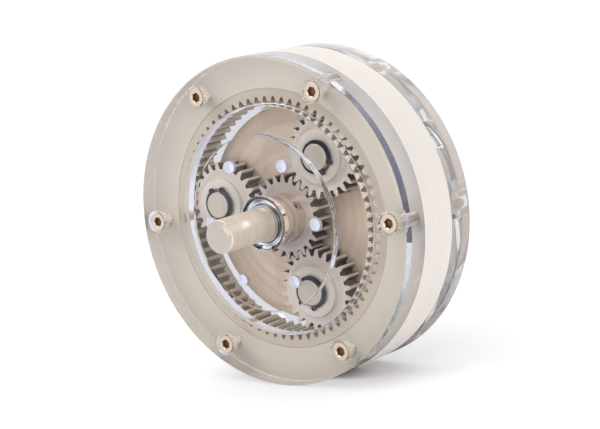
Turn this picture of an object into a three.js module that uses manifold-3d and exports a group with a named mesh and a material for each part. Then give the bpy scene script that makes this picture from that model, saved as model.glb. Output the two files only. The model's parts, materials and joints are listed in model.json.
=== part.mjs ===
// Planetary gearbox with clear covers: a sun gear, three planets and a fixed ring gear, 4 to 1.
//
// Millimetres, +Z up. Both shafts lie on the Y axis, the input shaft points to -Y, and the origin
// is on that axis, midway through the housing. Angles are counted from +X towards +Z, as seen
// from the input side.
import * as THREE from 'three';
import { mergeVertices } from 'three/addons/utils/BufferGeometryUtils.js';
import Module from 'manifold-3d';

const wasm = await Module();
wasm.setup();

// ---------------------------------------------------------------- driving dimensions

const HOUSING_R = 75;        // outer radius of the covers and the metal band
const BAND = 21;             // width of the band between the covers
const COVER = 15.5;          // thickness of a cover's rim
const BOSS_R = 40;           // raised pilot boss on each cover
const BOSS = 3.2;            // height of the boss
const RECESS_R = 52.6;       // round recess in a cover's inner face
const RECESS = 7.5;          // depth of the recess
const CORNER = 0.5;          // chamfer on outer corners

const MODULE = 1.5;          // gear tooth size
const SUN_TEETH = 24;
const PLANET_TEETH = 24;
const RING_TEETH = SUN_TEETH + 2 * PLANET_TEETH;
const PRESSURE = 20 * Math.PI / 180;
const BACKLASH = 0.13;       // taken off each tooth at the pitch circle
const GEAR_WIDTH = 9;
const TEETH_SET_BACK = 3.2;  // from the front cover's inner face to the teeth of the sun and planets

const PLANETS = 3;
const FIRST_PLANET = 49.9 * Math.PI / 180;
const PIN_R = 6;
const BUSH_R = 7.4;          // outer radius of a planet's bush
const HUB_R = 12;            // round hub on the front of a planet gear
const HUB = 2.7;             // how far the hub stands out of the teeth's face

const SHAFT_R = 7.5;
const SHAFT_OUT = 32.5;      // shaft standing out of the rim's face
const SHOULDER_R = 9.2;
const KEY = 5;               // width of the keys and keyways
const KEY_FLOOR = 4.5;       // radius at a shaft keyway's floor
const KEY_ANGLE = 34 * Math.PI / 180;
const KEYWAY = 14;           // length of the open keyway at a shaft's end
const COLLAR_R = 11.5;       // collar on the input shaft, against the sun gear
const COLLAR = 5.2;          // its width
const SET_SCREW_R = 1.95;
const SET_SCREW_ANGLE = 31 * Math.PI / 180;

const BEARING_R = 12;        // outer radius of the ball bearings
const BEARING = 5;           // width of the ball bearings
const BALL_R = 1.2;
const BALLS = 11;
const RACE_R = 9.8;          // radius of the ring of balls

const SCREWS = 6;
const SCREW_CIRCLE = 66.5;
const SCREW_R = 2.5;
const SCREW = 20;            // length under the head
const HEAD_R = 4.25;
const HEAD = 5;
const HEAD_SUNK = 0.5;       // top of the head below the rim's face
const SOCKET = 4;            // across the flats of the hexagon

const BOSS_HOLES = 6;
const BOSS_HOLE_CIRCLE = 30;
const BOSS_HOLE_R = 2.8;
const BOSS_HOLE = 4.5;       // depth of the blind holes in the boss

const RING_OUTER_R = 59.4;
const PLATE_R = 50;          // carrier plate
const PLATE = 4.5;
const SPIGOT_R = 8.4;        // output shaft in the carrier plate
const PILOT_R = 5;           // nose of the input shaft
const PILOT_SEAT_R = 6.5;    // seat of the bush round it, in the output shaft

const FIT = 0.05;            // between pieces that rest on or in each other
const PLAY = 0.1;            // between pieces that turn on each other
const CLIP = 1;              // thickness of the circlips and snap rings

const ROUND = 24;            // facets round a shaft or a bearing
const BIG_ROUND = 40;        // facets round the housing

// ---------------------------------------------------------------- places along the axis

const RIM_Y = -(BAND / 2 + COVER);            // front face of the front cover's rim
const BOSS_Y = RIM_Y - BOSS;                  // front face of its boss
const INNER_Y = -BAND / 2;                    // its inner face
const RECESS_Y = INNER_Y - RECESS;            // floor of the recess in it
const TIP_Y = RIM_Y - SHAFT_OUT;              // free end of the input shaft
const CLIP_GROOVE_Y = BOSS_Y + 0.8;
const BEARING_Y = CLIP_GROOVE_Y + CLIP + PLAY;
const SHOULDER_Y = BEARING_Y + BEARING + FIT;
const TEETH_Y = INNER_Y + TEETH_SET_BACK;     // front face of the sun's and planets' teeth
const TEETH_BACK_Y = TEETH_Y + GEAR_WIDTH;    // their back face
const HUB_Y = TEETH_Y - HUB;
const COLLAR_Y = TEETH_Y - PLAY - COLLAR;
const SET_SCREW_Y = COLLAR_Y + COLLAR / 2;
const PLATE_Y = TEETH_BACK_Y + 1;             // front face of the carrier plate
const PLATE_BACK_Y = PLATE_Y + PLATE;
const WASHER_Y = [TEETH_BACK_Y + 0.2, PLATE_Y - 0.2];
const PIN_CLIP_Y = HUB_Y - 0.3 - CLIP;
const PIN_Y = PIN_CLIP_Y - 1;

const SUN_PITCH_R = MODULE * SUN_TEETH / 2;
const PLANET_PITCH_R = MODULE * PLANET_TEETH / 2;
const CENTRES = SUN_PITCH_R + PLANET_PITCH_R; // from the main axis to a planet's axis

// ---------------------------------------------------------------- solids

// A closed three.js geometry as a solid with its faces pointing out.
function solid(geometry) {
  geometry.deleteAttribute('normal');
  geometry.deleteAttribute('uv');
  const merged = mergeVertices(geometry, 1e-4);
  const points = Float32Array.from(merged.getAttribute('position').array);
  const index = merged.getIndex().array;
  const corner = (i) => new THREE.Vector3(points[3 * i], points[3 * i + 1], points[3 * i + 2]);
  const triangles = [];
  let volume = 0;
  for (let i = 0; i < index.length; i += 3) {
    const [a, b, c] = [index[i], index[i + 1], index[i + 2]];
    if (a === b || b === c || c === a) continue;
    triangles.push([a, b, c]);
    volume += corner(a).dot(corner(b).cross(corner(c)));
  }
  const outward = volume > 0 ? triangles : triangles.map(([a, b, c]) => [a, c, b]);
  const triVerts = Uint32Array.from(outward.flat());
  return new wasm.Manifold(new wasm.Mesh({ numProp: 3, vertProperties: points, triVerts }));
}

// A named mesh of one solid, with a material of its own.
function piece(name, shape, [color, roughness, metalness, opacity = 1]) {
  const { vertProperties, triVerts } = shape.getMesh();
  const geometry = new THREE.BufferGeometry();
  geometry.setAttribute('position', new THREE.BufferAttribute(vertProperties, 3));
  geometry.setIndex(new THREE.BufferAttribute(triVerts, 1));
  geometry.computeVertexNormals();
  const material = new THREE.MeshStandardMaterial({ color, roughness, metalness, opacity });
  material.transparent = opacity < 1;
  const mesh = new THREE.Mesh(geometry, material);
  mesh.name = name;
  return mesh;
}

// A profile of [radius, y] points turned about the Y axis. It closes on itself, or ends on the axis.
function turned(profile, facets = ROUND) {
  const points = profile.map(([radius, y]) => new THREE.Vector2(radius, y));
  if (profile[0][0] > 0) points.push(points[0].clone());
  return solid(new THREE.LatheGeometry(points, facets));
}

// A ring with square edges between two radii and two places along the axis.
function ring(inner, outer, from, to, facets = ROUND) {
  return turned([[inner, from], [outer, from], [outer, to], [inner, to]], facets);
}

// A rod along Y.
function rod(radius, from, to, facets = ROUND, x = 0, z = 0) {
  const geometry = new THREE.CylinderGeometry(radius, radius, to - from, facets);
  geometry.translate(x, (from + to) / 2, z);
  return solid(geometry);
}

// A rod that reaches outwards along X from the axis, turned to an angle.
function radialRod(radius, inner, outer, y, angle, facets) {
  const geometry = new THREE.CylinderGeometry(radius, radius, outer - inner, facets);
  geometry.rotateZ(Math.PI / 2);
  geometry.translate((inner + outer) / 2, y, 0);
  geometry.rotateY(-angle);
  return solid(geometry);
}

// A flat outline in X and Z, given thickness along Y.
function slab(outline, from, to, holes = []) {
  const shape = new THREE.Shape(outline);
  shape.holes = holes.map((hole) => new THREE.Path(hole));
  const geometry = new THREE.ExtrudeGeometry(shape, { depth: to - from, bevelEnabled: false });
  geometry.rotateX(Math.PI / 2);
  geometry.translate(0, to, 0);
  return solid(geometry);
}

// A block that reaches outwards along X from the axis, turned to an angle.
function keyBlock(inner, outer, from, to, width, angle) {
  const geometry = new THREE.BoxGeometry(outer - inner, to - from, width);
  geometry.translate((inner + outer) / 2, (from + to) / 2, 0);
  geometry.rotateY(-angle);
  return solid(geometry);
}

function circle(radius, facets) {
  return new THREE.Path().absarc(0, 0, radius, 0, 2 * Math.PI).getPoints(facets / 2).slice(0, -1);
}

// Turns a mesh about the Y axis to an angle, at a distance from the axis.
function placeAt(mesh, radius, angle) {
  mesh.position.set(radius * Math.cos(angle), 0, radius * Math.sin(angle));
  mesh.rotation.y = -angle;
  return mesh;
}

// ---------------------------------------------------------------- finishes

// Each is a colour, roughness, metalness and, where it is clear, opacity.

const ACRYLIC = ['#e8e4dc', 0.05, 0, 0.35];
const CREAM_METAL = ['#e6dccf', 0.55, 0.3];
const STEEL = ['#b9ada1', 0.35, 0.9];
const BRIGHT_STEEL = ['#d6ccc0', 0.25, 0.9];
const SPRING_STEEL = ['#4b4f58', 0.35, 0.9];
const SCREW_STEEL = ['#cfc2b2', 0.3, 0.9];
const BRONZE = ['#b08a55', 0.4, 0.9];

// ---------------------------------------------------------------- gear teeth

const involute = (angle) => Math.tan(angle) - angle;

// The outline of a gear with teeth centred at phase and every pitch after it. The widening is
// added to each tooth at the pitch circle, and may be negative.
function toothOutline(teeth, rootR, tipR, widening, phase) {
  const pitchR = MODULE * teeth / 2;
  const baseR = pitchR * Math.cos(PRESSURE);
  const halfTooth = (radius) => {
    const rolled = involute(Math.acos(Math.min(1, baseR / radius)));
    return Math.PI / (2 * teeth) + widening / (2 * pitchR) + involute(PRESSURE) - rolled;
  };
  const flank = [rootR, pitchR, tipR];
  const outline = [];
  for (let tooth = 0; tooth < teeth; tooth += 1) {
    const centre = phase + 2 * Math.PI * tooth / teeth;
    const up = flank.map((radius) => [radius, centre - halfTooth(radius)]);
    const down = flank.map((radius) => [radius, centre + halfTooth(radius)]).reverse();
    for (const [radius, angle] of [...up, ...down]) {
      outline.push(new THREE.Vector2(radius * Math.cos(angle), radius * Math.sin(angle)));
    }
  }
  return outline;
}

function gearOutline(teeth, phase) {
  const pitchR = MODULE * teeth / 2;
  return toothOutline(teeth, pitchR - 1.25 * MODULE, pitchR + MODULE, -BACKLASH, phase);
}

// The ring gear has a tooth space at angle 0. A planet at an angle then meshes with it when one
// of its teeth points to minus twice that angle, and the sun when it has a space at four times it.
const planetPhase = (angle) => -2 * angle;
const SUN_PHASE = 4 * FIRST_PLANET + Math.PI / SUN_TEETH;

// ---------------------------------------------------------------- circlips

// A split ring with a lug at each side of its gap. Lugs stand outwards on a shaft's circlip and
// inwards on a bore's snap ring. Its gap points along +X.
function splitRing(inner, outer, from, lugR, lugsOutside) {
  const halfGap = 0.32;
  const lugCircle = lugsOutside ? outer - 0.1 : inner + 0.1;
  const shape = new THREE.Shape();
  shape.absarc(0, 0, outer, halfGap, 2 * Math.PI - halfGap, false);
  shape.absarc(0, 0, inner, 2 * Math.PI - halfGap, halfGap, true);
  let clip = slab(shape.getPoints(9), from, from + CLIP);
  for (const side of [-1, 1]) {
    const angle = side * (halfGap + 0.7 * lugR / lugCircle);
    const [x, z] = [lugCircle * Math.cos(angle), lugCircle * Math.sin(angle)];
    clip = clip.add(rod(lugR, from, from + CLIP, 8, x, z));
    clip = clip.subtract(rod(0.45 * lugR, from - 1, from + CLIP + 1, 6, x, z));
  }
  return clip;
}

// ---------------------------------------------------------------- housing

function cover() {
  let body = turned([
    [BEARING_R + FIT, BOSS_Y],
    [BOSS_R - CORNER, BOSS_Y],
    [BOSS_R, BOSS_Y + CORNER],
    [BOSS_R, RIM_Y],
    [HOUSING_R - CORNER, RIM_Y],
    [HOUSING_R, RIM_Y + CORNER],
    [HOUSING_R, INNER_Y - FIT],
    [RECESS_R, INNER_Y - FIT],
    [RECESS_R, RECESS_Y],
    [BEARING_R - 1.5, RECESS_Y],
    [BEARING_R - 1.5, BEARING_Y + BEARING + FIT],
    [BEARING_R + FIT, BEARING_Y + BEARING + FIT],
    [BEARING_R + FIT, CLIP_GROOVE_Y + CLIP + PLAY],
    [BEARING_R + 0.7, CLIP_GROOVE_Y + CLIP + PLAY],
    [BEARING_R + 0.7, CLIP_GROOVE_Y],
    [BEARING_R + FIT, CLIP_GROOVE_Y],
  ], BIG_ROUND);
  const headSeat = RIM_Y + HEAD_SUNK + HEAD + FIT;
  for (let i = 0; i < SCREWS; i += 1) {
    const angle = 2 * Math.PI * i / SCREWS;
    const [x, z] = [SCREW_CIRCLE * Math.cos(angle), SCREW_CIRCLE * Math.sin(angle)];
    body = body.subtract(rod(HEAD_R + 0.95, RIM_Y - 1, headSeat, 12, x, z));
    body = body.subtract(rod(SCREW_R + 0.25, headSeat - 1, INNER_Y + 1, 8, x, z));
  }
  for (let i = 0; i < BOSS_HOLES; i += 1) {
    const angle = 2 * Math.PI * i / BOSS_HOLES;
    const [x, z] = [BOSS_HOLE_CIRCLE * Math.cos(angle), BOSS_HOLE_CIRCLE * Math.sin(angle)];
    body = body.subtract(rod(BOSS_HOLE_R, BOSS_Y - 1, BOSS_Y + BOSS_HOLE, 10, x, z));
  }
  return body;
}

function capScrew() {
  const top = RIM_Y + HEAD_SUNK;
  const under = top + HEAD;
  const body = turned([
    [0, top],
    [HEAD_R - 0.4, top],
    [HEAD_R, top + 0.4],
    [HEAD_R, under],
    [SCREW_R, under],
    [SCREW_R, under + SCREW - 0.5],
    [SCREW_R - 0.5, under + SCREW],
    [0, under + SCREW],
  ], 8);
  const hexagonR = SOCKET / Math.sqrt(3);
  return body.subtract(rod(hexagonR, top - 1, top + 2.6, 6));
}

function housingRing() {
  const half = BAND / 2;
  let body = turned([
    [RING_OUTER_R + 0.1, -half],
    [HOUSING_R - CORNER, -half],
    [HOUSING_R, -half + CORNER],
    [HOUSING_R, half - CORNER],
    [HOUSING_R - CORNER, half],
    [RING_OUTER_R + 0.1, half],
  ], BIG_ROUND);
  for (let i = 0; i < SCREWS; i += 1) {
    const angle = 2 * Math.PI * i / SCREWS;
    const [x, z] = [SCREW_CIRCLE * Math.cos(angle), SCREW_CIRCLE * Math.sin(angle)];
    body = body.subtract(rod(SCREW_R + 0.25, -half - 1, half + 1, 8, x, z));
  }
  return body;
}

function ringGear() {
  const pitchR = MODULE * RING_TEETH / 2;
  const spaces = toothOutline(RING_TEETH, pitchR - MODULE, pitchR + 1.25 * MODULE, BACKLASH, 0);
  return slab(circle(RING_OUTER_R, BIG_ROUND), INNER_Y, PLATE_Y - 0.5, [spaces]);
}

// ---------------------------------------------------------------- ball bearings

// A race with a round groove for the balls, on the outer (+1) or the inner (-1) side of them.
function race(side) {
  const grooveR = BALL_R + 0.15;
  const landR = RACE_R + side * 0.8;
  const wallR = side > 0 ? BEARING_R : SHAFT_R + FIT;
  const middle = BEARING_Y + BEARING / 2;
  const half = Math.acos(0.8 / grooveR);
  const groove = [-1, -0.5, 0, 0.5, 1].map((step) => [
    RACE_R + side * grooveR * Math.cos(step * half),
    middle + grooveR * Math.sin(step * half),
  ]);
  return turned([
    [wallR, BEARING_Y],
    [landR, BEARING_Y],
    ...groove,
    [landR, BEARING_Y + BEARING],
    [wallR, BEARING_Y + BEARING],
  ]);
}

// The balls in their cage, which go round together.
function balls() {
  const middle = BEARING_Y + BEARING / 2;
  let body = ring(RACE_R - 0.3, RACE_R + 0.3, middle - 1.6, middle + 1.6, 2 * BALLS);
  for (let i = 0; i < BALLS; i += 1) {
    const angle = 2 * Math.PI * i / BALLS;
    const ball = new THREE.SphereGeometry(BALL_R, 6, 4);
    ball.translate(RACE_R * Math.cos(angle), middle, RACE_R * Math.sin(angle));
    body = body.add(solid(ball));
  }
  return body;
}

// ---------------------------------------------------------------- shafts

// The free end that both shafts have: from its tip, past the circlip groove, to the shoulder.
const SHAFT_END = [
  [0, TIP_Y],
  [SHAFT_R - CORNER, TIP_Y],
  [SHAFT_R, TIP_Y + CORNER],
  [SHAFT_R, CLIP_GROOVE_Y],
  [SHAFT_R - 0.4, CLIP_GROOVE_Y],
  [SHAFT_R - 0.4, CLIP_GROOVE_Y + CLIP + PLAY],
  [SHAFT_R, CLIP_GROOVE_Y + CLIP + PLAY],
  [SHAFT_R, SHOULDER_Y],
  [SHOULDER_R, SHOULDER_Y],
];

// An open keyway at the tip, with the round inner end that an end mill leaves.
function openKeyway() {
  const end = TIP_Y + KEYWAY - KEY / 2;
  const slot = keyBlock(KEY_FLOOR, SHAFT_R + 1, TIP_Y - 1, end, KEY, KEY_ANGLE);
  return slot.add(radialRod(KEY / 2, KEY_FLOOR, SHAFT_R + 1, end, KEY_ANGLE, 16));
}

function inputShaft() {
  const body = turned([
    ...SHAFT_END,
    [SHOULDER_R, COLLAR_Y - FIT],
    [SHAFT_R - FIT, COLLAR_Y - FIT],
    [SHAFT_R - FIT, TEETH_BACK_Y + PLAY],
    [PILOT_R, TEETH_BACK_Y + PLAY],
    [PILOT_R, PLATE_BACK_Y - 0.8],
    [0, PLATE_BACK_Y - 0.8],
  ]);
  const sunKeyway = keyBlock(KEY_FLOOR, SHAFT_R + 1, TEETH_Y + 0.2, TEETH_BACK_Y - 0.2, KEY, KEY_ANGLE);
  return body.subtract(openKeyway()).subtract(sunKeyway);
}

// Built with its free end towards -Y, then turned end for end with the rest of the rear.
function outputShaft() {
  const body = turned([
    ...SHAFT_END,
    [SHOULDER_R, -PLATE_BACK_Y - FIT],
    [SPIGOT_R, -PLATE_BACK_Y - FIT],
    [SPIGOT_R, -PLATE_Y],
    [PILOT_SEAT_R, -PLATE_Y],
    [PILOT_SEAT_R, -PLATE_BACK_Y + 0.2],
    [0, -PLATE_BACK_Y + 0.2],
  ]);
  return body.subtract(openKeyway());
}

// The collar is held on the shaft by a set screw from its side.
function sunCollar() {
  const body = turned([
    [SHAFT_R, COLLAR_Y],
    [COLLAR_R - CORNER, COLLAR_Y],
    [COLLAR_R, COLLAR_Y + CORNER],
    [COLLAR_R, COLLAR_Y + COLLAR - CORNER],
    [COLLAR_R - CORNER, COLLAR_Y + COLLAR],
    [SHAFT_R, COLLAR_Y + COLLAR],
  ]);
  const holeR = SET_SCREW_R + PLAY;
  return body.subtract(
    radialRod(holeR, SHAFT_R - 1, COLLAR_R + 1, SET_SCREW_Y, SET_SCREW_ANGLE, 12));
}

function setScrew() {
  const outer = COLLAR_R - 0.6;
  const body = radialRod(SET_SCREW_R, SHAFT_R + PLAY, outer, SET_SCREW_Y, SET_SCREW_ANGLE, 12);
  return body.subtract(radialRod(1.15, outer - 1.6, outer + 1, SET_SCREW_Y, SET_SCREW_ANGLE, 6));
}

// ---------------------------------------------------------------- sun, planets and carrier

function sunGear() {
  const bore = rod(SHAFT_R, TEETH_Y - 1, TEETH_BACK_Y + 1);
  const keyway = keyBlock(0, SHAFT_R + 2.3, TEETH_Y - 1, TEETH_BACK_Y + 1, KEY + 0.2, KEY_ANGLE);
  return slab(gearOutline(SUN_TEETH, SUN_PHASE), TEETH_Y, TEETH_BACK_Y).subtract(bore.add(keyway));
}

function planetGear(angle) {
  const hub = rod(HUB_R, HUB_Y, TEETH_Y + 1);
  const bore = rod(BUSH_R + FIT, HUB_Y - 1, TEETH_BACK_Y + 1);
  // a planet is turned to its place on the carrier, so its teeth's phase starts from there
  const teeth = slab(gearOutline(PLANET_TEETH, planetPhase(angle) - angle), TEETH_Y, TEETH_BACK_Y);
  return teeth.add(hub).subtract(bore);
}

function planetPin() {
  return turned([
    [0, PIN_Y],
    [PIN_R - CORNER, PIN_Y],
    [PIN_R, PIN_Y + CORNER],
    [PIN_R, PIN_CLIP_Y],
    [PIN_R - 0.4, PIN_CLIP_Y],
    [PIN_R - 0.4, PIN_CLIP_Y + CLIP + PLAY],
    [PIN_R, PIN_CLIP_Y + CLIP + PLAY],
    [PIN_R, PLATE_BACK_Y - FIT],
    [0, PLATE_BACK_Y - FIT],
  ]);
}

function carrierPlate() {
  let body = turned([
    [SPIGOT_R + FIT, PLATE_Y],
    [PLATE_R - CORNER, PLATE_Y],
    [PLATE_R, PLATE_Y + CORNER],
    [PLATE_R, PLATE_BACK_Y - CORNER],
    [PLATE_R - CORNER, PLATE_BACK_Y],
    [SPIGOT_R + FIT, PLATE_BACK_Y],
  ], BIG_ROUND);
  for (let i = 0; i < PLANETS; i += 1) {
    const angle = FIRST_PLANET + 2 * Math.PI * i / PLANETS;
    const [x, z] = [CENTRES * Math.cos(angle), CENTRES * Math.sin(angle)];
    body = body.subtract(rod(PIN_R + PLAY, PLATE_Y - 1, PLATE_BACK_Y + 1, ROUND, x, z));
  }
  return body;
}

function pilotBush() {
  return turned([
    [PILOT_R + PLAY, WASHER_Y[0]],
    [SPIGOT_R - PLAY, WASHER_Y[0]],
    [SPIGOT_R - PLAY, WASHER_Y[1]],
    [PILOT_SEAT_R - FIT, WASHER_Y[1]],
    [PILOT_SEAT_R - FIT, PLATE_BACK_Y - 0.5],
    [PILOT_R + PLAY, PLATE_BACK_Y - 0.5],
  ]);
}

// ---------------------------------------------------------------- assembly

const gearbox = new THREE.Group();

gearbox.add(piece('housing_ring', housingRing(), CREAM_METAL));
gearbox.add(piece('ring_gear', ringGear(), STEEL));

// The rear of the housing is the front turned end for end about the vertical.
for (const [end, shaft, turn] of [['front', 'input', 0], ['rear', 'output', Math.PI]]) {
  const half = new THREE.Group();
  half.rotation.z = turn;
  half.add(piece(`${end}_cover`, cover(), ACRYLIC));
  for (let i = 0; i < SCREWS; i += 1) {
    const screw = piece(`${end}_screw_${i + 1}`, capScrew(), SCREW_STEEL);
    half.add(placeAt(screw, SCREW_CIRCLE, 2 * Math.PI * i / SCREWS));
  }
  half.add(piece(`${shaft}_bearing_outer`, race(1), BRIGHT_STEEL));
  half.add(piece(`${shaft}_bearing_inner`, race(-1), BRIGHT_STEEL));
  half.add(piece(`${shaft}_bearing_balls`, balls(), BRIGHT_STEEL));
  const bodyOfShaft = shaft === 'input' ? inputShaft() : outputShaft();
  half.add(piece(`${shaft}_shaft`, bodyOfShaft, BRIGHT_STEEL));
  const snapRing = splitRing(BEARING_R - 1, BEARING_R + 0.6, CLIP_GROOVE_Y + FIT, 0.9, false);
  half.add(placeAt(piece(`${shaft}_snap_ring`, snapRing, SPRING_STEEL), 0, -Math.PI / 2));
  const clip = splitRing(SHAFT_R - 0.25, SHAFT_R + 1.1, CLIP_GROOVE_Y + FIT, 0.9, true);
  half.add(placeAt(piece(`${shaft}_circlip`, clip, SPRING_STEEL), 0, Math.PI));
  gearbox.add(half);
}

gearbox.add(piece('sun_gear', sunGear(), STEEL));
const keyEnds = [TEETH_Y + 0.3, TEETH_BACK_Y - 0.3];
const sunKey = keyBlock(KEY_FLOOR + FIT, SHAFT_R + 2, ...keyEnds, KEY - PLAY, KEY_ANGLE);
gearbox.add(piece('sun_key', sunKey, BRIGHT_STEEL));
gearbox.add(piece('sun_collar', sunCollar(), BRIGHT_STEEL));
gearbox.add(piece('collar_screw', setScrew(), SCREW_STEEL));

gearbox.add(piece('carrier_plate', carrierPlate(), STEEL));
gearbox.add(piece('pilot_bush', pilotBush(), BRONZE));

// Where the gap of each pin's circlip points.
const CLIP_GAPS = [-45, 95, -115].map((degrees) => degrees * Math.PI / 180);

for (let i = 0; i < PLANETS; i += 1) {
  const angle = FIRST_PLANET + 2 * Math.PI * i / PLANETS;
  const add = (name, shape, finish) => {
    gearbox.add(placeAt(piece(`${name}_${i + 1}`, shape, finish), CENTRES, angle));
  };
  add('planet_gear', planetGear(angle), STEEL);
  add('planet_bush', ring(PIN_R + PLAY, BUSH_R, HUB_Y + FIT, TEETH_BACK_Y - FIT), BRONZE);
  add('thrust_washer', ring(PIN_R + PLAY, 9, ...WASHER_Y), BRONZE);
  add('planet_pin', planetPin(), BRIGHT_STEEL);
  const clip = splitRing(PIN_R - 0.3, PIN_R + 1.6, PIN_CLIP_Y + FIT, 1.25, true);
  const turnedClip = placeAt(piece(`pin_circlip_${i + 1}`, clip, SPRING_STEEL), CENTRES, angle);
  turnedClip.rotation.y = -CLIP_GAPS[i];
  gearbox.add(turnedClip);
}

export default gearbox;
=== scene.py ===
"""Looks of the planetary gearbox with clear covers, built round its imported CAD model.

Metres, in the CAD frame: both shafts lie on Y, the input shaft points to -Y, +Z is up. Angles are
counted from +X towards +Z, as seen from the input side. What both ends have is built for the front,
and at the rear it is the same mesh turned end for end about Z.
"""
import json
import math
import random

import bmesh
import bpy
from mathutils import Matrix, Vector


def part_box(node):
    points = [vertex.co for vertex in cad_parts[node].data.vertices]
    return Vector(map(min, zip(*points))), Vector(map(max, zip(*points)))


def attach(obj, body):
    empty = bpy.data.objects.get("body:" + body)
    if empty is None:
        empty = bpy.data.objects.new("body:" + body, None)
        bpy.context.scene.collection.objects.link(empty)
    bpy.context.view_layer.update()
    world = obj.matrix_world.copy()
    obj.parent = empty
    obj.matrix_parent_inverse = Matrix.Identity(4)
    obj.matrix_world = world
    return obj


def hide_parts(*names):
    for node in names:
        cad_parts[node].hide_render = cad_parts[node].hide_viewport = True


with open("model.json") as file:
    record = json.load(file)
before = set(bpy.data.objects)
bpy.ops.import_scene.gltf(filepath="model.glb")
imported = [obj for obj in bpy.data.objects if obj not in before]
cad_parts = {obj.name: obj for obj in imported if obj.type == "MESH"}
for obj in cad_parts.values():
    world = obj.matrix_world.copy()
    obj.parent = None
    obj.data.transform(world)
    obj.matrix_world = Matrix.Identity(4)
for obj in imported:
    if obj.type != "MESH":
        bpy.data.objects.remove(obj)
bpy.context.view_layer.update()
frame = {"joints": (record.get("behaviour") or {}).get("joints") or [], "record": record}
scene = bpy.context.scene
random.seed(7)

MM = 0.001
TURN = 2 * math.pi
END_FOR_END = Matrix.Rotation(math.pi, 4, "Z")
FIT = 0.05 * MM                   # clearance between pieces that touch in the CAD


# ------------------------------------------------------------------ places and sizes from the frame

def span(node):
    """Front y, back y and radius of a CAD node that is round about the main axis."""
    low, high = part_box(node)
    return low.y, high.y, high.x


mounts = {m["name"]: Vector(m["pos_m"]) for m in frame["record"]["mounts"]}
joints = {j["name"]: Vector(j["pos_m"]) for j in frame["joints"]}

BOSS_Y, INNER_Y, HOUSING_R = span("front_cover")
RIM_Y = mounts["front_flange_face"].y
TIP_Y, NOSE_Y, SHOULDER_R = span("input_shaft")
BAND_FRONT, BAND_BACK, _ = span("housing_ring")
RING_FRONT, RING_BACK, RING_OUTER_R = span("ring_gear")
TEETH_Y, TEETH_BACK, _ = span("sun_gear")
COLLAR_Y, COLLAR_BACK, COLLAR_R = span("sun_collar")
PLATE_Y, PLATE_BACK, PLATE_R = span("carrier_plate")
BEARING_Y, BEARING_BACK, BEARING_R = span("input_bearing_outer")
CLIP_Y, CLIP_BACK, _ = span("input_circlip")
BUSH_Y, BUSH_BACK, _ = span("pilot_bush")
HUB_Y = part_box("planet_gear_1")[0].y
PIN_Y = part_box("planet_pin_1")[0].y
PIN_CLIP_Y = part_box("pin_circlip_1")[0].y
PIN_CLIP_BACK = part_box("pin_circlip_1")[1].y
WASHER_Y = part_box("thrust_washer_1")[0].y
WASHER_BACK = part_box("thrust_washer_1")[1].y
HEAD_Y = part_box("front_screw_1")[0].y
SCREW_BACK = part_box("front_screw_1")[1].y

BOSS_R = 40 * MM
RECESS_R = 52.6 * MM
RECESS_Y = INNER_Y - 7.5 * MM
SHAFT_R = 7.5 * MM
PIN_R = 6 * MM
PIN_BORE_R = PIN_R + 2 * FIT
PLANET_BUSH_R = 7.4 * MM
NOSE_R = 5 * MM                   # the input shaft's end, which runs in the pilot bush
BUSH_SEAT_R = 6.5 * MM            # the bush's seat in the output shaft
SPIGOT_R = 8.4 * MM               # the output shaft's end, fixed in the carrier plate
BAND_BORE_R = 59.5 * MM
SCREW_HEAD = 5 * MM
SCREW_HOLE_R = 2.75 * MM
SCREW_CIRCLE = 66.5 * MM
BOSS_HOLE_CIRCLE = 30 * MM
KEY = 5 * MM                      # width; its floor and top are distances from the axis
KEY_FLOOR = 4.5 * MM
KEY_TOP = SHAFT_R + 2 * MM
KEYWAY = 14 * MM                  # length of the keyway in a shaft's free end
KEY_ANGLE = math.radians(34)
SET_SCREW_ANGLE = math.radians(31)
SET_SCREW_Y = (COLLAR_Y + COLLAR_BACK) / 2

MODULE = 1.5 * MM
PRESSURE = math.radians(20)
BACKLASH = 0.13 * MM
SUN_TEETH, PLANET_TEETH, RING_TEETH = 24, 24, 72
PLANETS = [joints[f"planet_{i}_spin"] for i in (1, 2, 3)]
PLANET_ANGLES = [math.atan2(p.z, p.x) for p in PLANETS]
SUN_PHASE = 4 * PLANET_ANGLES[0] + math.pi / SUN_TEETH


# ------------------------------------------------------------------ meshes

def at(radius, angle, y):
    """A point at a radius and an angle about the main axis."""
    return Vector((radius * math.cos(angle), y, radius * math.sin(angle)))


def circle(radius, y, angles):
    return [at(radius, a, y) for a in angles]


def even(count):
    return [TURN * i / count for i in range(count)]


def spin(angle):
    """A turn about the main axis, from +X towards +Z."""
    return Matrix.Rotation(-angle, 4, "Y")


def outwards(angle, y):
    """The place where a piece's own +Y points out from the main axis at an angle."""
    return Matrix.Translation((0, y, 0)) @ spin(angle) @ Matrix.Rotation(-math.pi / 2, 4, "Z")


def hexagon(flat_r, y, angles):
    """A row round a hexagon whose corners are slightly rounded."""
    return [at(min(flat_r / math.cos(a % (TURN / 6) - TURN / 12), flat_r * 1.14), a, y) for a in angles]


def thread(radius, pitch, depth, y, angles):
    """A row of a screw thread, which climbs one pitch in a turn."""
    return [at(radius - depth * abs(2 * ((y / pitch - a / TURN) % 1) - 1), a, y) for a in angles]


def soften(profile, size, steps=3):
    """A profile of (radius, y) with its corners rounded off over a size."""
    points = [Vector(p) for p in profile]
    out = []
    for i, p in enumerate(points):
        a, b = points[i - 1] - p, points[(i + 1) % len(points)] - p
        if p.x < 1e-9 or a.length < 1e-9 or b.length < 1e-9 or a.angle(b) > math.radians(165):
            out.append(p)
            continue
        cut = min(size, 0.45 * a.length, 0.45 * b.length)
        for k in range(steps + 1):
            t = k / steps
            out.append(p + a.normalized() * cut * (1 - t) ** 2 + b.normalized() * cut * t ** 2)
    return out


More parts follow.
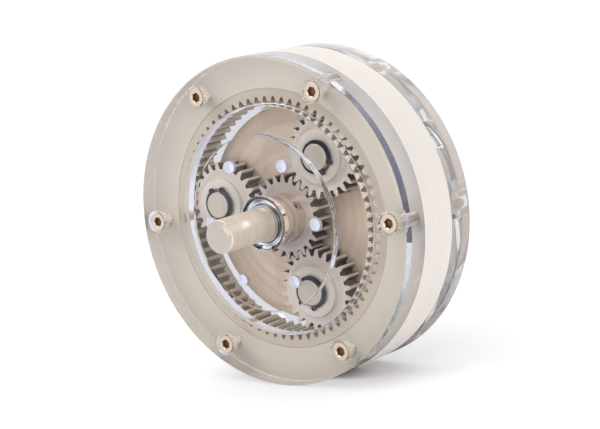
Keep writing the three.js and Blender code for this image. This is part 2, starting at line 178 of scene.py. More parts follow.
def add_loft(bm, rows, closed=False, material=0):
    """Skins rows of points, all of one count. A row of one point is a pole.

    closed also joins the last row to the first."""
    made = [[bm.verts.new(p) for p in row] for row in rows]
    pairs = list(zip(made, made[1:] + made[:1])) if closed else list(zip(made, made[1:]))
    for one, two in pairs:
        count = max(len(one), len(two))
        for i in range(count):
            j = (i + 1) % count
            if len(one) == 1:
                face = bm.faces.new((one[0], two[j], two[i]))
            elif len(two) == 1:
                face = bm.faces.new((one[i], one[j], two[0]))
            else:
                face = bm.faces.new((one[i], one[j], two[j], two[i]))
            face.material_index = material


def add_turned(bm, profile, segments=96, size=0.25 * MM, material=0, centre=(0, 0)):
    """A profile of (radius, y) turned about an axis along Y."""
    points = soften(profile, size) if size else [Vector(p) for p in profile]
    shift = Vector((centre[0], 0, centre[1]))
    rows = []
    for p in points:
        if p.x < 1e-9:
            rows.append([Vector((0, p.y, 0)) + shift])
        else:
            rows.append([q + shift for q in circle(p.x, p.y, even(segments))])
    add_loft(bm, rows, closed=profile[0][0] > 0, material=material)


def make(name, bm, sharp=32, weighted=True):
    """An object of a finished bmesh, with its faces out and smooth up to an angle."""
    bmesh.ops.recalc_face_normals(bm, faces=bm.faces)
    mesh = bpy.data.meshes.new(name)
    bm.to_mesh(mesh)
    bm.free()
    obj = bpy.data.objects.new(name, mesh)
    scene.collection.objects.link(obj)
    shade(obj, sharp, weighted)
    return obj


def shade(obj, sharp=32, weighted=True):
    """Smooth shading up to an angle in degrees."""
    obj.data.shade_smooth()
    obj.data.set_sharp_from_angle(angle=math.radians(sharp))
    if weighted:
        obj.modifiers.new("soft corners", "WEIGHTED_NORMAL").keep_sharp = True


def rod(radius, low, high):
    """The profile of a solid cylinder."""
    return [(0, low), (radius, low), (radius, high), (0, high)]


def tube(inner, outer, low, high):
    return [(inner, low), (outer, low), (outer, high), (inner, high)]


def turned(name, profile, segments=96, size=0.25 * MM, **shading):
    bm = bmesh.new()
    add_turned(bm, profile, segments, size)
    return make(name, bm, **shading)


def cut(obj, cutter, solver="EXACT"):
    """Cuts one mesh object out of another for good, and drops the cutter."""
    obj.modifiers.clear()
    boolean = obj.modifiers.new("cut", "BOOLEAN")
    boolean.operation = "DIFFERENCE"
    boolean.solver = solver
    if solver == "EXACT":
        boolean.material_mode = "TRANSFER"
    boolean.object = cutter
    bpy.context.view_layer.update()
    graph = bpy.context.evaluated_depsgraph_get()
    mesh = bpy.data.meshes.new_from_object(obj.evaluated_get(graph))
    obj.modifiers.clear()
    obj.data = mesh
    bpy.data.objects.remove(cutter)
    bm = bmesh.new()
    bm.from_mesh(mesh)
    bmesh.ops.remove_doubles(bm, verts=bm.verts, dist=1e-7)
    bmesh.ops.recalc_face_normals(bm, faces=bm.faces)
    bm.to_mesh(mesh)
    bm.free()
    shade(obj)
    return obj


def outline_angles(outline):
    """Angles for the round rows that meet an outline: halfway between even ones and its own."""
    count = len(outline)
    own = [math.atan2(p.y, p.x) for p in outline]
    for i in range(1, count):
        while own[i] < own[i - 1] - 1e-6:
            own[i] += TURN
    start = sum(own) / count - math.pi * (count - 1) / count
    return [(a + start + TURN * i / count) / 2 for i, a in enumerate(own)]


def inset(outline, distance):
    """An outline moved to its inner side, or out if the distance is negative."""
    count = len(outline)
    out = []
    for i, p in enumerate(outline):
        along = (outline[(i + 1) % count] - outline[i - 1]).normalized()
        out.append(p + Vector((-along.y, along.x)) * distance)
    return out


def row_of(outline, y):
    return [Vector((p.x, y, p.y)) for p in outline]


# ------------------------------------------------------------------ gear teeth

def involute(angle):
    return math.tan(angle) - angle


def tooth_outline(teeth, inner_r, outer_r, widening, phase, inner_corner, outer_corner):
    """Teeth of involute flanks between two radii, with their corners rounded."""
    pitch_r = MODULE * teeth / 2
    base_r = pitch_r * math.cos(PRESSURE)

    def half(radius):
        rolled = involute(math.acos(min(1, base_r / radius)))
        return math.pi / (2 * teeth) + widening / (2 * pitch_r) + involute(PRESSURE) - rolled

    side = []
    for k in (1.0, 0.6, 0.3, 0.0):
        t = 1 - k
        side.append((inner_r + inner_corner * t ** 2, half(inner_r) + inner_corner / inner_r * k ** 2))
    flank_from, flank_to = inner_r + inner_corner, outer_r - outer_corner
    for k in range(1, 6):
        radius = flank_from + (flank_to - flank_from) * k / 6
        side.append((radius, half(radius)))
    for k in (0.0, 0.35, 0.7, 1.0):
        radius = outer_r - outer_corner * (1 - k) ** 2
        side.append((radius, half(radius) - outer_corner / outer_r * k ** 2))
    outline = []
    for tooth in range(teeth):
        middle = phase + TURN * tooth / teeth
        polar = [(r, middle - a) for r, a in side]
        polar.append((outer_r, middle))
        polar += [(r, middle + a) for r, a in reversed(side)]
        polar.append((inner_r, middle + math.pi / teeth))
        outline += [Vector((r * math.cos(a), r * math.sin(a))) for r, a in polar]
    return outline


def gear_outline(teeth, phase):
    pitch_r = MODULE * teeth / 2
    return tooth_outline(teeth, pitch_r - 1.25 * MODULE, pitch_r + MODULE, -BACKLASH, phase,
                         0.42 * MM, 0.14 * MM)


def gear(name, outline, front, back, bore_r, hub_r=0, hub_y=0):
    """A spur gear with bevelled tooth edges, a bore, and perhaps a round hub on its front."""
    angles = outline_angles(outline)
    edge, halfway = 0.22 * MM, 0.07 * MM
    bevel_end, bevel_middle = inset(outline, edge), inset(outline, 0.06 * MM)
    rows = [circle(bore_r, back - edge, angles), circle(bore_r + edge, back, angles),
            row_of(bevel_end, back), row_of(bevel_middle, back - halfway),
            row_of(outline, back - edge), row_of(outline, front + edge),
            row_of(bevel_middle, front + halfway), row_of(bevel_end, front)]
    if hub_r:
        profile = soften([(hub_r + 2 * MM, front), (hub_r, front), (hub_r, hub_y),
                          (bore_r, hub_y), (bore_r, back)], 0.45 * MM)
        # the profile's first and last corners only close it, and their points are dropped
        inner = [p for p in profile if p.x <= hub_r + 0.5 * MM][:-1]
        inner = [p for p in inner if not (abs(p.x - bore_r) < 1e-6 and p.y > front)]
        rows += [circle(p.x, p.y, angles) for p in inner]
    else:
        rows += [circle(bore_r + edge, front, angles), circle(bore_r, front + edge, angles)]
    bm = bmesh.new()
    add_loft(bm, rows, closed=True)
    return make(name, bm)


# ------------------------------------------------------------------ stampings and blocks

def stamping(name, outlines, front, back, bevel=0.1 * MM):
    """A flat piece in X and Z cut to outlines, the first around the rest, with rounded edges."""
    curve = bpy.data.curves.new(name, "CURVE")
    curve.dimensions = "2D"
    curve.fill_mode = "BOTH"
    curve.extrude = (back - front) / 2 - bevel
    curve.bevel_depth = bevel
    curve.bevel_resolution = 2
    curve.offset = -bevel
    for outline in outlines:
        spline = curve.splines.new("POLY")
        spline.points.add(len(outline) - 1)
        for point, p in zip(spline.points, outline):
            point.co = (p.x, p.y, 0, 1)
        spline.use_cyclic_u = True
    source = bpy.data.objects.new(name, curve)
    scene.collection.objects.link(source)
    bpy.context.view_layer.update()
    mesh = bpy.data.meshes.new_from_object(source.evaluated_get(bpy.context.evaluated_depsgraph_get()))
    bpy.data.objects.remove(source)
    mesh.transform(Matrix.Translation((0, (front + back) / 2, 0)) @ Matrix.Rotation(math.pi / 2, 4, "X"))
    bm = bmesh.new()
    bm.from_mesh(mesh)
    bmesh.ops.remove_doubles(bm, verts=bm.verts, dist=2e-6)
    return make(name, bm)


def split_ring(name, inner, outer, front, back, lug_r, outside):
    """A circlip with a lug and a plier hole at each side of its gap, which points along +X."""
    half_gap = 0.32               # radians
    nothing = (math.inf, 0)
    lug_circle = outer - 0.1 * MM if outside else inner + 0.1 * MM
    lug_angle = half_gap + 0.7 * lug_r / lug_circle
    reach = math.asin(lug_r / lug_circle)

    def radii(angle):
        """Inner and outer radius at an angle from the gap's middle."""
        low, high = (inner, outer) if angle >= half_gap else nothing
        s = lug_circle * math.sin(angle - lug_angle)
        if abs(s) < lug_r:
            middle = lug_circle * math.cos(angle - lug_angle)
            half = math.sqrt(lug_r ** 2 - s ** 2)
            low, high = min(low, middle - half), max(high, middle + half)
        return low, high

    angles = [lug_angle - reach * math.cos(k * math.pi / 24) for k in range(1, 24)]
    angles += [lug_angle + reach + (math.pi - lug_angle - reach) * k / 30 for k in range(31)]
    mirrored = [(a, a) for a in angles] + [(TURN - a, a) for a in reversed(angles[:-1])]
    out, back_in = [], []
    for angle, folded in mirrored:
        low, high = radii(folded)
        out.append(Vector((high * math.cos(angle), high * math.sin(angle))))
        back_in.append(Vector((low * math.cos(angle), low * math.sin(angle))))
    holes = []
    for sign in (-1, 1):
        centre = Vector((math.cos(sign * lug_angle), math.sin(sign * lug_angle))) * lug_circle
        holes.append([centre + Vector((math.cos(a), math.sin(a))) * 0.45 * lug_r for a in even(20)])
    return stamping(name, [out + back_in[::-1], *holes], front, back)


def add_block(bm, inner, outer, front, back, width, angle):
    """A block that reaches outwards from the axis at an angle."""
    middle = Matrix.Translation(((inner + outer) / 2, (front + back) / 2, 0))
    size = Matrix.Diagonal((outer - inner, back - front, width, 1))
    bmesh.ops.create_cube(bm, size=1, matrix=spin(angle) @ middle @ size)


def radial_rod(name, profile, angle, y, segments):
    """A turned profile of (radius, reach) that stands outwards from the main axis at an angle."""
    obj = turned(name, profile, segments, 0)
    obj.matrix_world = outwards(angle, y)
    return obj


# ------------------------------------------------------------------ materials

class Finish:
    """A procedural material. Node outputs are passed about as sockets."""

    def __init__(self, name, **shader):
        self.material = bpy.data.materials.new(name)
        self.material.use_nodes = True
        self.tree = self.material.node_tree
        self.tree.nodes.clear()
        self.output = self.tree.nodes.new("ShaderNodeOutputMaterial")
        self.shader = self.node("ShaderNodeBsdfPrincipled", **shader)
        self.link(self.shader.outputs[0], self.output.inputs["Surface"])
        self.coordinates = self.node("ShaderNodeTexCoord")

    def link(self, socket, to):
        self.tree.links.new(socket, to)

    def feed(self, socket, value):
        """Links a node's output to a socket, or sets the socket to a plain value."""
        if isinstance(value, bpy.types.NodeSocket):
            self.link(value, socket)
        else:
            socket.default_value = value

    def node(self, kind, **values):
        """A node with its inputs fed by name; other names are its settings."""
        made = self.tree.nodes.new(kind)
        for name, value in values.items():
            label = name.replace("_", " ")
            if label in made.inputs:
                self.feed(made.inputs[label], value)
            else:
                setattr(made, name, value)
        return made

    def math(self, operation, a, b=0.0):
        made = self.node("ShaderNodeMath", operation=operation)
        self.feed(made.inputs[0], a)
        self.feed(made.inputs[1], b)
        return made.outputs[0]

    def step(self, value, low, high):
        """0 below one value, 1 above another, smooth between."""
        made = self.node("ShaderNodeMapRange", interpolation_type="SMOOTHSTEP", Value=value,
                         From_Min=low, From_Max=high)
        return made.outputs[0]

    def noise(self, vector, scale, detail=2.0, roughness=0.5):
        made = self.node("ShaderNodeTexNoise", Vector=vector, Scale=scale, Detail=detail,
                         Roughness=roughness)
        return made.outputs["Fac"]

    def mix(self, factor, a, b):
        """Mixes two colours, each a socket or an (r, g, b)."""
        made = self.tree.nodes.new("ShaderNodeMix")
        made.data_type = "RGBA"
        self.feed(made.inputs[0], factor)
        for socket, colour in zip([s for s in made.inputs if s.type == "RGBA"], (a, b)):
            self.feed(socket, (*colour, 1) if isinstance(colour, tuple) else colour)
        return next(s for s in made.outputs if s.type == "RGBA")

    def join(self, x, y, z):
        made = self.tree.nodes.new("ShaderNodeCombineXYZ")
        for socket, value in zip(made.inputs, (x, y, z)):
            self.feed(socket, value)
        return made.outputs[0]

    def turning(self):
        """The radius and a vector for turning marks, from the piece's own coordinates."""
        parts = self.node("ShaderNodeSeparateXYZ", Vector=self.coordinates.outputs["Object"]).outputs
        radius = self.math("SQRT", self.math("ADD", self.math("MULTIPLY", parts[0], parts[0]),
                                             self.math("MULTIPLY", parts[2], parts[2])))
        safe = self.math("MAXIMUM", radius, 1e-5)
        travel = self.math("ADD", self.math("MULTIPLY", radius, 1000),
                           self.math("MULTIPLY", parts[1], 1370))
        across = [self.math("DIVIDE", parts[i], safe) for i in (0, 2)]
        return radius, self.join(travel, *across)

    def facing(self):
        """1 where a face looks along the axis, 0 on its sides."""
        normal = self.node("ShaderNodeSeparateXYZ", Vector=self.coordinates.outputs["Normal"]).outputs[1]
        return self.step(self.math("ABSOLUTE", normal), 0.5, 0.9)

    def set(self, name, socket):
        self.link(socket, self.shader.inputs[name])

    def bump(self, height, distance):
        made = self.node("ShaderNodeBump", Height=height, Distance=distance)
        self.set("Normal", made.outputs[0])


def srgb(r, g, b):
    """A colour given as 0-255 sRGB, made linear."""
    def linear(v):
        v /= 255
        return v / 12.92 if v <= 0.04045 else ((v + 0.055) / 1.055) ** 2.4
    return linear(r), linear(g), linear(b)


def machined(name, colour, shadow, roughness=(0.3, 0.5), metal=0.85, marks=1.2, bump=0.004,
             shade_and_grime=None, face=None, anisotropy=0.0):
    """Turned or milled metal: marks round its axis, soft patches, and darker sides of teeth, which are
    painted shade.

    shade_and_grime is (from radius, to radius, colour, amount) for the sides of teeth between two radii,
    painted shade between the teeth with some old grease as well, and face is a colour for the surfaces
    that look along the axis, painted shade that stands in for how those faces are lit."""
    finish = Finish(name, Metallic=metal, Anisotropic=anisotropy)
    radius, around = finish.turning()
    fine = finish.noise(around, marks * 3.1, 3.0, 0.6)
    broad = finish.noise(around, marks * 0.45, 2.0)
    patch = finish.noise(finish.coordinates.outputs["Object"], 60, 3.0)
    tone = finish.mix(finish.step(broad, 0.3, 0.7), colour, shadow)
    tone = finish.mix(finish.math("MULTIPLY", finish.step(patch, 0.35, 0.75), 0.45), tone, shadow)
    tone = finish.mix(finish.math("MULTIPLY", finish.step(fine, 0.45, 0.8), 0.3), tone, colour)
    # painted shade: the faces that look along the axis get a darker or greyer tone for how they are lit
    if face:
        tone = finish.mix(finish.math("MULTIPLY", finish.facing(), 0.8), tone, face)
    # painted shade, with some grease as well: the sides of teeth between two radii are darker, less
    # metallic and less glossy, where shade falls between the teeth
    if shade_and_grime:
        low, high, dark, amount = shade_and_grime
        side = finish.math("SUBTRACT", 1, finish.facing())
        inside = finish.math("MULTIPLY", finish.step(radius, low - 0.2 * MM, low),
                             finish.math("SUBTRACT", 1, finish.step(radius, high - 1.2 * MM, high)))
        shade_and_dirt = finish.math("MULTIPLY", finish.math("MULTIPLY", side, inside), amount)
        tone = finish.mix(shade_and_dirt, tone, dark)
        unmarked = finish.math("SUBTRACT", 1, shade_and_dirt)
        finish.set("Metallic", finish.math("MULTIPLY", unmarked, metal))
        finish.set("Specular IOR Level", finish.math("MULTIPLY", unmarked, 0.5))
    finish.set("Base Color", tone)
    rough = finish.node("ShaderNodeMapRange", Value=fine, To_Min=roughness[0], To_Max=roughness[1])
    finish.set("Roughness", rough.outputs[0])
    finish.bump(fine, bump * MM)
    if anisotropy:
        tangent = finish.node("ShaderNodeTangent", direction_type="RADIAL", axis="Y")
        finish.set("Tangent", tangent.outputs[0])
    return finish.material


def clear(name, colour, roughness, transmission=1.0, grain=0.0, gloss=(1, 1, 1)):
    """Acrylic that casts no dark shadow. Below 1, transmission leaves it milky; gloss tints what it
    reflects."""
    finish = Finish(name, IOR=1.49, Transmission_Weight=transmission, Specular_Tint=(*gloss, 1))
    haze = finish.noise(finish.coordinates.outputs["Object"], 90, 2.0)
    tint = finish.mix(haze, colour, tuple(c * 0.985 for c in colour))
    finish.set("Base Color", tint)
    rough = finish.node("ShaderNodeMapRange", Value=haze, From_Min=0.3, From_Max=0.7,
                        To_Min=roughness[0], To_Max=roughness[1])
    finish.set("Roughness", rough.outputs[0])
    if grain:
        _, around = finish.turning()
        finish.bump(finish.noise(around, 4.0, 2.0), grain * MM)
    light = finish.node("ShaderNodeLightPath")
    through = finish.node("ShaderNodeBsdfTransparent", Color=(*(c * 0.97 for c in colour), 1))
    chosen = finish.tree.nodes.new("ShaderNodeMixShader")
    finish.link(light.outputs["Is Shadow Ray"], chosen.inputs[0])
    finish.link(finish.shader.outputs[0], chosen.inputs[1])
    finish.link(through.outputs[0], chosen.inputs[2])
    finish.link(chosen.outputs[0], finish.output.inputs["Surface"])
    return finish.material


ACRYLIC = clear("clear acrylic", (0.985, 0.978, 0.965), (0.0, 0.003))
BORED_ACRYLIC = clear("bored acrylic", (0.94, 0.945, 0.96), (0.05, 0.16), transmission=0.95)
# painted reflection: the turned edge is tinted blue and its reflections lavender blue, for the studio's
# lavender grey seen in it
EDGE_ACRYLIC_PAINTED_LAVENDER = clear("turned acrylic edge", (0.87, 0.89, 0.98), (0.0, 0.004), transmission=0.98,
                     gloss=(0.35, 0.45, 0.8))
REAR_EDGE_ACRYLIC = clear("rear acrylic edge", (0.93, 0.90, 0.87), (0.0, 0.003), transmission=0.8)
WALL_ACRYLIC = clear("turned acrylic wall", (0.94, 0.935, 0.93), (0.0, 0.003), transmission=0.9)
FROSTED_ACRYLIC = clear("frosted acrylic", (0.80, 0.82, 0.90), (0.4, 0.6), transmission=0.3, grain=0.02)

# painted shade: the band's end faces are tinted darker (face)
CREAM = machined("cream metal", srgb(224, 217, 209), srgb(219, 211, 203), (0.5, 0.62), metal=0.15,
                 marks=0.4, bump=0.0005, face=srgb(218, 208, 194))
# painted shade on the ring's end faces (face) and on its tooth sides near the roots (shade_and_grime)
RING_STEEL = machined("ring gear steel", srgb(222, 211, 195), srgb(208, 195, 178), (0.35, 0.5),
                      metal=0.4, marks=0.6, face=srgb(194, 183, 169),
                      shade_and_grime=(53.9 * MM, 57 * MM, srgb(150, 122, 92), 0.8))
# painted shade on the sun's and planets' tooth sides, dark brown, with some old grease as well
TOOTH_SHADE_AND_GREASE = (14 * MM, 19.6 * MM, srgb(74, 50, 30), 0.92)
SUN_STEEL = machined("sun gear steel", srgb(214, 204, 198), srgb(197, 186, 179), (0.34, 0.5),
                     metal=0.65, marks=0.9, shade_and_grime=TOOTH_SHADE_AND_GREASE)
PLANET_STEEL = machined("planet gear steel", srgb(232, 223, 214), srgb(215, 205, 195), (0.34, 0.5),
                        metal=0.65, marks=0.9, shade_and_grime=TOOTH_SHADE_AND_GREASE)
PLATE_STEEL = machined("carrier steel", srgb(230, 211, 192), srgb(212, 192, 172), (0.34, 0.48),
                       metal=0.6, marks=0.55, anisotropy=0.5)
# painted shade: the shafts' end faces are tinted much darker (face)
BRIGHT = machined("ground steel", srgb(238, 227, 210), srgb(227, 214, 196), (0.28, 0.42), metal=0.5,
                  marks=0.8, bump=0.002, face=srgb(154, 146, 140))
# painted shade: the pins' end faces are tinted darker (face)
PIN_STEEL = machined("pin steel", srgb(238, 227, 210), srgb(227, 214, 196), (0.28, 0.42), metal=0.5,
                     marks=0.8, bump=0.002, face=srgb(196, 185, 172))
MILLED = machined("milled steel", srgb(250, 243, 230), srgb(242, 233, 218), (0.4, 0.5), metal=0.3)
COLLAR_STEEL = machined("collar steel", srgb(206, 188, 176), srgb(186, 166, 154), (0.3, 0.45), metal=0.7,
                        marks=0.8)
# painted reflection: fine, very dark marks paint thin dark and bright rings on the races and shields
CHROME_PAINTED_RINGS = machined("bearing steel", srgb(226, 226, 230), srgb(96, 98, 108), (0.08, 0.2), metal=1.0,
                  marks=3.4, bump=0.001)
SPRING = machined("blued spring steel", srgb(74, 76, 86), srgb(42, 44, 52), (0.25, 0.4), metal=0.8,
                  marks=1.0)
# painted shade: the screw heads' end faces get a greyer tone (face)
SCREW_METAL = machined("screw steel", srgb(214, 190, 160), srgb(186, 156, 122), (0.25, 0.4), metal=0.75,
                       marks=1.2, face=srgb(196, 184, 170))
# painted shade: the hexagon sockets are dark brown for the shade inside them
SOCKET_PAINTED_SHADE = machined("socket", srgb(150, 104, 66), srgb(92, 60, 36), (0.45, 0.6), metal=0.4, marks=1.0)
BRONZE = machined("bronze", srgb(160, 138, 110), srgb(136, 116, 92), (0.3, 0.45), metal=0.8, marks=0.9)
CAGE = machined("cage steel", srgb(176, 172, 166), srgb(140, 136, 130), (0.25, 0.4), metal=0.9,
                marks=1.0)


# ------------------------------------------------------------------ placing pieces

def dress(obj, *materials):
    """Gives a piece its materials, in slot order."""
    for material in materials:
        obj.data.materials.append(material)
    return obj


def place(obj, body, nodes, matrix=None):
    """Puts a piece on its body, in the stead of its CAD nodes."""
    if matrix is not None:
        obj.matrix_world = matrix
    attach(obj, body)
    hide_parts(*nodes)
    return obj


def twin(obj, name, body, nodes, matrix=END_FOR_END):
    """Another piece with the same mesh: turned end for end at the rear, unless a place is given."""
    other = bpy.data.objects.new(name, obj.data)
    scene.collection.objects.link(other)
    for modifier in obj.modifiers:
        if modifier.type == "WEIGHTED_NORMAL":
            other.modifiers.new(modifier.name, modifier.type).keep_sharp = True
    return place(other, body, nodes, matrix)


def tool(name, bm, *materials):
    """A mesh that cuts another, which gets its materials on the cut faces."""
    return dress(make(name, bm, weighted=False), *materials)


# ------------------------------------------------------------------ housing

EDGE, WALL = 3, 4                 # material slots of a cover's turned edge and recess wall


def cover():
    """The front cover, with its recess, bearing seat, counterbored holes and blind boss holes."""
    bore = BEARING_R + FIT
    groove = BEARING_R + 0.7 * MM
    behind = BEARING_R - 1.5 * MM
    spigot = BAND_BORE_R - FIT
    bevel = 0.9 * MM
    touch = BAND_FRONT + 0.01 * MM
    obj = turned("front_cover_clear", [
        (bore, BOSS_Y), (BOSS_R, BOSS_Y), (BOSS_R, RIM_Y), (HOUSING_R - bevel, RIM_Y),
        (HOUSING_R, RIM_Y + bevel), (HOUSING_R, touch), (spigot, touch), (spigot, INNER_Y),
        (RECESS_R, INNER_Y), (RECESS_R, RECESS_Y), (behind, RECESS_Y),
        (behind, BEARING_BACK + FIT), (bore, BEARING_BACK + FIT), (bore, CLIP_BACK + FIT),
        (groove, CLIP_BACK + FIT), (groove, CLIP_Y - FIT), (bore, CLIP_Y - FIT)], 360, 0.35 * MM)
    dress(obj, ACRYLIC, BORED_ACRYLIC, FROSTED_ACRYLIC, EDGE_ACRYLIC_PAINTED_LAVENDER, WALL_ACRYLIC)
    head_r, head_seat = 5.2 * MM, HEAD_Y + SCREW_HEAD + FIT
    blind_r, blind_floor = 2.8 * MM, BOSS_Y + 4 * MM
    bm = bmesh.new()
    for k in range(6):
        c = at(SCREW_CIRCLE, TURN * k / 6, 0)
        add_turned(bm, [(0, RIM_Y - MM), (head_r, RIM_Y - MM), (head_r, head_seat),
                        (SCREW_HOLE_R, head_seat), (SCREW_HOLE_R, INNER_Y + MM), (0, INNER_Y + MM)],
                   64, 0, centre=(c.x, c.z))
        c = at(BOSS_HOLE_CIRCLE, TURN * k / 6, 0)
        add_turned(bm, [(0, BOSS_Y - MM), (blind_r, BOSS_Y - MM), (blind_r, blind_floor - 0.9 * MM),
                        (0, blind_floor + 0.5 * MM)], 48, 0, material=1, centre=(c.x, c.z))
    cut(obj, tool("holes", bm, BORED_ACRYLIC, FROSTED_ACRYLIC))
    for face in obj.data.polygons:
        radius = math.hypot(face.center.x, face.center.z)
        if abs(face.normal.y) < 0.4 and radius > HOUSING_R - 0.2 * MM:
            face.material_index = EDGE
        elif abs(face.normal.y) < 0.4 and abs(radius - RECESS_R) < 0.2 * MM:
            face.material_index = WALL
    return obj


def band():
    obj = turned("housing_band", tube(BAND_BORE_R, HOUSING_R, BAND_FRONT, BAND_BACK), 256, 0.15 * MM)
    bm = bmesh.new()
    for k in range(6):
        c = at(SCREW_CIRCLE, TURN * k / 6, 0)
        add_turned(bm, rod(SCREW_HOLE_R, BAND_FRONT - MM, BAND_BACK + MM), 32, 0, centre=(c.x, c.z))
    return cut(dress(obj, CREAM), tool("holes", bm, CREAM))


def ring_gear():
    """Internal teeth with a lead-in at the front and their edges broken."""
    pitch_r = MODULE * RING_TEETH / 2
    tip_r, root_r = pitch_r - MODULE, pitch_r + 1.25 * MODULE
    outline = tooth_outline(RING_TEETH, tip_r, root_r, BACKLASH, 0, 0.12 * MM, 0.4 * MM)
    angles = outline_angles(outline)
    front, back, outer_r = RING_FRONT, RING_BACK, RING_OUTER_R
    lead, edge, slope, corner = 1.2 * MM, 0.2 * MM, 0.12 * MM, 0.4 * MM
    widened = [p.normalized() * max(p.length, tip_r + lead) for p in outline]
    rows = [circle(outer_r, back - corner, angles), circle(outer_r, front + corner, angles),
            circle(outer_r - slope, front + slope, angles), circle(outer_r - corner, front, angles),
            row_of(inset(widened, -slope), front), row_of(widened, front + slope),
            row_of(outline, front + lead), row_of(outline, back - edge),
            row_of(inset(outline, -edge), back), circle(outer_r - corner, back, angles)]
    bm = bmesh.new()
    add_loft(bm, rows, closed=True)
    return dress(make("ring_gear_teeth", bm), RING_STEEL)


def cap_screw():
    """A socket cap screw about its own axis, its head to the front."""
    top, under = HEAD_Y, HEAD_Y + SCREW_HEAD
    head_r, shank_r, knurl = 4.25 * MM, 2.5 * MM, 0.16 * MM
    socket_r, socket_top, socket_floor = 2 * MM, top + 0.3 * MM, top + 2.6 * MM
    plain, pitch, thread_depth = 9 * MM, 0.8 * MM, 0.42 * MM
    angles = even(72)

    def knurled(y):
        return [at(head_r - knurl * (i % 2), a, y) for i, a in enumerate(angles)]

    socket = [[Vector((0, socket_floor + 0.7 * MM, 0))], hexagon(socket_r, socket_floor, angles),
              hexagon(socket_r, socket_top, angles)]
    outside = [hexagon(socket_r, socket_top, angles),
               circle(socket_r + 0.4 * MM, top + 0.05 * MM, angles),
               circle(socket_r + 0.55 * MM, top, angles), circle(head_r - 0.5 * MM, top, angles),
               circle(head_r - 0.2 * MM, top + 0.1 * MM, angles),
               circle(head_r - 0.04 * MM, top + 0.4 * MM, angles),
               knurled(top + 0.6 * MM), knurled(under - 0.4 * MM),
               circle(head_r - 0.25 * MM, under, angles), circle(shank_r + 0.2 * MM, under, angles),
               circle(shank_r - 0.02 * MM, under + 0.2 * MM, angles)]
    y = under + plain
    outside.append(circle(shank_r - 0.02 * MM, y, angles))
    while y < SCREW_BACK - MM:
        y += pitch / 4
        outside.append(thread(shank_r, pitch, thread_depth, y, angles))
    outside += [circle(shank_r - 0.6 * MM, SCREW_BACK, angles), [Vector((0, SCREW_BACK, 0))]]
    bm = bmesh.new()
    add_loft(bm, socket, material=1)
    add_loft(bm, outside)
    bmesh.ops.remove_doubles(bm, verts=bm.verts, dist=1e-7)
    return dress(make("front_cap_screw_1", bm, sharp=28), SCREW_METAL, SOCKET_PAINTED_SHADE)


front_cover = place(cover(), "housing", ["front_cover"])
rear_cover = twin(front_cover, "rear_cover_clear", "housing", ["rear_cover"])
rear_cover.material_slots[EDGE].link = "OBJECT"
rear_cover.material_slots[EDGE].material = REAR_EDGE_ACRYLIC
place(band(), "housing", ["housing_ring"])
place(ring_gear(), "housing", ["ring_gear"])

screw = cap_screw()
for end, turn in (("front", Matrix.Identity(4)), ("rear", END_FOR_END)):
    for k in range(6):
        c = at(SCREW_CIRCLE, TURN * k / 6, 0)
        spun = turn @ Matrix.Translation(c) @ spin(-random.uniform(0, TURN / 6))
        node = f"{end}_screw_{k + 1}"
        if end == "front" and k == 0:
            place(screw, "housing", [node], spun)
        else:
            twin(screw, f"{end}_cap_screw_{k + 1}", "housing", [node], spun)


# ------------------------------------------------------------------ bearings and their clips

BEARING_MIDDLE = (BEARING_Y + BEARING_BACK) / 2
BALL_R, BALL_CIRCLE, BALLS = 1.2 * MM, 9.8 * MM, 11


def race(name, side):
    """A race with a round groove, outside (+1) or inside (-1) the balls. The outer has shields."""
    groove_r, land_gap = BALL_R + 0.15 * MM, 0.8 * MM
    half = math.acos(land_gap / groove_r)
    groove = [(BALL_CIRCLE + side * groove_r * math.cos(t * half),
               BEARING_MIDDLE + groove_r * math.sin(t * half)) for t in (-1, -0.6, -0.2, 0.2, 0.6, 1)]
    land = BALL_CIRCLE + side * land_gap
    wall = BEARING_R if side > 0 else SHAFT_R + FIT
    step = land + side * 0.35 * MM
    first = [(step, BEARING_Y), (land, BEARING_Y + 0.5 * MM)]
    last = [(land, BEARING_BACK - 0.5 * MM), (step, BEARING_BACK)]
    if side > 0:
        tip = BALL_CIRCLE - 0.68 * MM
        shield = [(step, 0.25), (tip, 0.25), (tip, 0.45), (land, 0.45)]
        first = [(step, BEARING_Y)] + [(r, BEARING_Y + d * MM) for r, d in shield]
        last = [(r, BEARING_BACK - d * MM) for r, d in reversed(shield)] + [(step, BEARING_BACK)]
    profile = [(wall, BEARING_Y), *first, *groove, *last, (wall, BEARING_BACK)]
    return dress(turned(name, profile, 128, 0.12 * MM), CHROME_PAINTED_RINGS)


